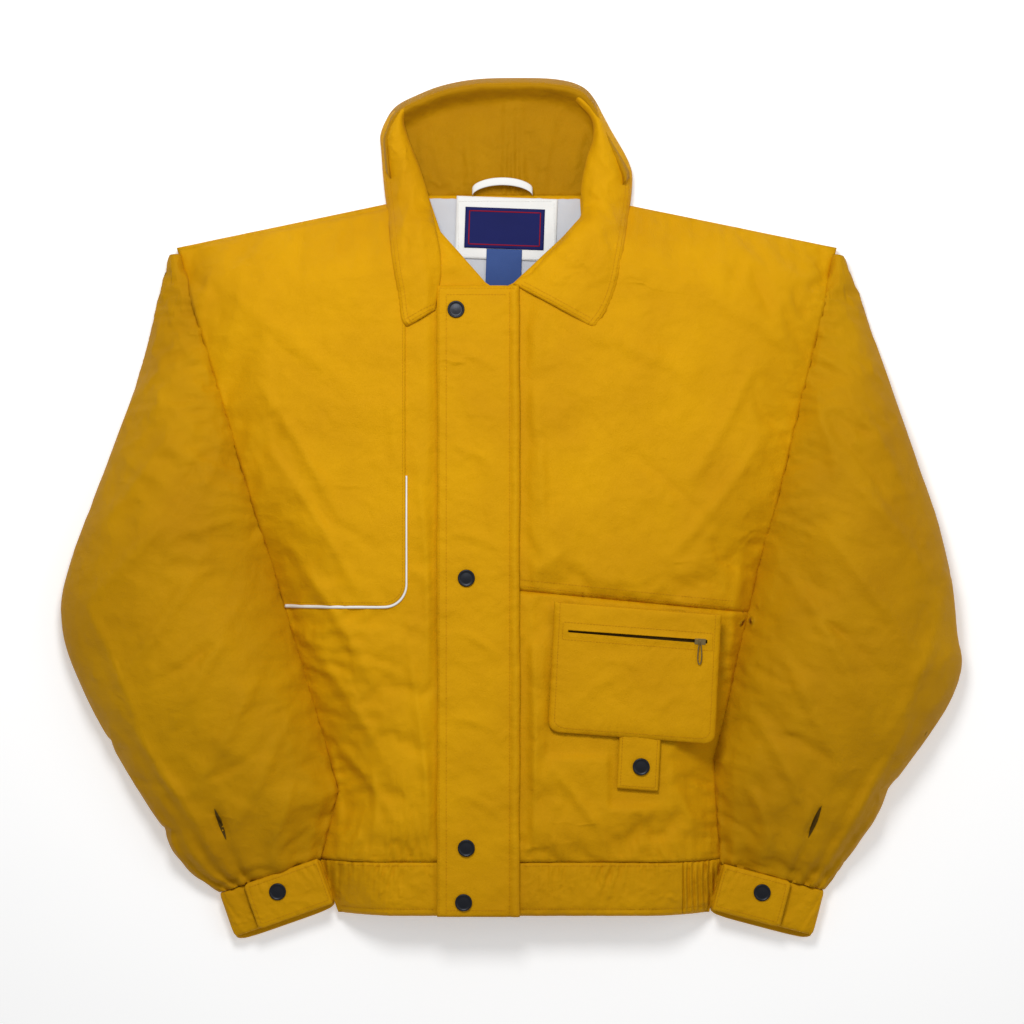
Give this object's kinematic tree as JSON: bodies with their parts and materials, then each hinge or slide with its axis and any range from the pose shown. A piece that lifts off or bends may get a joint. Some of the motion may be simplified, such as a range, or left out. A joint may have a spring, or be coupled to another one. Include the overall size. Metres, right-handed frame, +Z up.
{
  "type": "padded blouson jacket",
  "caption": "Padded waist-length jacket laid flat on its back, with a storm flap over a zip, snaps, turn-down collar, flap pocket and cuffed sleeves.",
  "frame": {"origin": "under the middle of the jacket's box, on the surface it lies on", "axes": "+X towards the wearer's left, +Y towards the collar, +Z up off the surface, out of the jacket's front"},
  "size_m": [0.8324, 0.7948, 0.0636],
  "materials": {
    "shell": "matt crisp cotton-nylon cloth, fine crinkles",
    "lining": "smooth taffeta",
    "wadding": "soft fibre wadding",
    "white_tape": "plain white twill tape",
    "navy_label": "woven label, blank",
    "care_label": "woven label, blank",
    "elastic": "gathered elasticated cloth",
    "snap": "matt black enamel on brass",
    "zip_metal": "antique brass"
  },
  "bodies": {
    "root": {"back_shell": "shell", "back_wadding": "wadding", "back_lining": "lining", "front_right_lining": "lining", "front_right_wadding": "wadding", "front_right_shell": "shell", "chest_panel": "shell", "chest_piping": "white_tape", "front_left_lining": "lining", "front_left_wadding": "wadding", "front_left_lower_shell": "shell", "front_left_upper_shell": "shell", "zip_tape_right": "shell", "zip_tape_left": "shell", "snap_stud_neck": "snap", "snap_stud_chest": "snap", "snap_stud_waist": "snap", "snap_stud_hem": "snap", "snap_stud_pocket": "snap", "waistband_front_right": "shell", "waistband_front_left": "shell", "waist_elastic_left": "elastic", "waist_elastic_right": "elastic", "waistband_back": "shell", "collar_back": "shell", "neck_patch": "white_tape", "neck_label": "navy_label", "care_label": "care_label", "hanger_loop": "white_tape", "pocket_pouch": "shell"},
    "sleeve_right": {"sleeve_right_under": "shell", "sleeve_right_wadding": "wadding", "sleeve_right_upper": "shell", "cuff_right": "shell", "snap_stud_cuff_right": "snap"},
    "sleeve_left": {"sleeve_left_under": "shell", "sleeve_left_wadding": "wadding", "sleeve_left_upper": "shell", "cuff_left": "shell", "snap_stud_cuff_left": "snap"},
    "cuff_tab_right": {"cuff_tab_right": "shell", "snap_cap_cuff_right": "snap"},
    "cuff_tab_left": {"cuff_tab_left": "shell", "snap_cap_cuff_left": "snap"},
    "storm_flap": {"storm_flap": "shell", "snap_cap_neck": "snap", "snap_cap_chest": "snap", "snap_cap_waist": "snap", "snap_cap_hem": "snap"},
    "zip_slider": {"zip_slider": "zip_metal", "zip_pull": "zip_metal"},
    "collar_leaf_right": {"collar_leaf_right": "shell"},
    "collar_leaf_left": {"collar_leaf_left": "shell"},
    "pocket_flap": {"pocket_flap": "shell", "pocket_zip_tape": "shell", "pocket_tab": "shell", "snap_cap_pocket": "snap"},
    "pocket_slider": {"pocket_slider": "zip_metal"},
    "pocket_pull": {"pocket_pull": "zip_metal"}
  },
  "joints": [
    {"name": "sleeve_right_fold", "type": "hinge", "parent": "root", "child": "sleeve_right", "pos_m": [-0.15956, -0.26167, 0.044], "axis": [-0.2865, 0.9581, 0], "range_deg": [0, 75]},
    {"name": "sleeve_left_fold", "type": "hinge", "parent": "root", "child": "sleeve_left", "pos_m": [0.19044, -0.23167, 0.044], "axis": [-0.2334, -0.9724, 0], "range_deg": [0, 75]},
    {"name": "cuff_tab_right_open", "type": "hinge", "parent": "sleeve_right", "child": "cuff_tab_right", "pos_m": [-0.1712, -0.34493, 0.0237], "axis": [-0.3305, 0.9438, 0], "range_deg": [0, 110]},
    {"name": "cuff_tab_left_open", "type": "hinge", "parent": "sleeve_left", "child": "cuff_tab_left", "pos_m": [0.19281, -0.35033, 0.0237], "axis": [-0.2538, -0.9673, 0], "range_deg": [0, 110]},
    {"name": "storm_flap_open", "type": "hinge", "parent": "root", "child": "storm_flap", "pos_m": [0.00924, -0.08117, 0.0476], "axis": [0, 1, 0], "range_deg": [0, 95]},
    {"name": "front_zip_travel", "type": "slide", "parent": "root", "child": "zip_slider", "axis": [0, -1, 0], "range_m": [0, 0.53]},
    {"name": "collar_right_turn_up", "type": "hinge", "parent": "root", "child": "collar_leaf_right", "pos_m": [-0.06856, 0.19883, 0.052], "axis": [-0.0812, 0.9741, -0.211], "range_deg": [0, 80]},
    {"name": "collar_left_turn_up", "type": "hinge", "parent": "root", "child": "collar_leaf_left", "pos_m": [0.01394, 0.20183, 0.0505], "axis": [-0.5709, -0.8011, 0.1796], "range_deg": [0, 80]},
    {"name": "pocket_flap_lift", "type": "hinge", "parent": "root", "child": "pocket_flap", "pos_m": [0.11571, -0.0906, 0.0489], "axis": [-0.997, 0.0769, 0], "range_deg": [0, 105]},
    {"name": "pocket_zip_travel", "type": "slide", "parent": "pocket_flap", "child": "pocket_slider", "axis": [-0.997, 0.0769, 0], "range_m": [0, 0.116]},
    {"name": "pocket_pull_flip", "type": "hinge", "parent": "pocket_slider", "child": "pocket_pull", "pos_m": [0.17471, -0.11892, 0.0554], "axis": [-0.997, 0.0769, 0], "range_deg": [0, 165]}
  ]
}
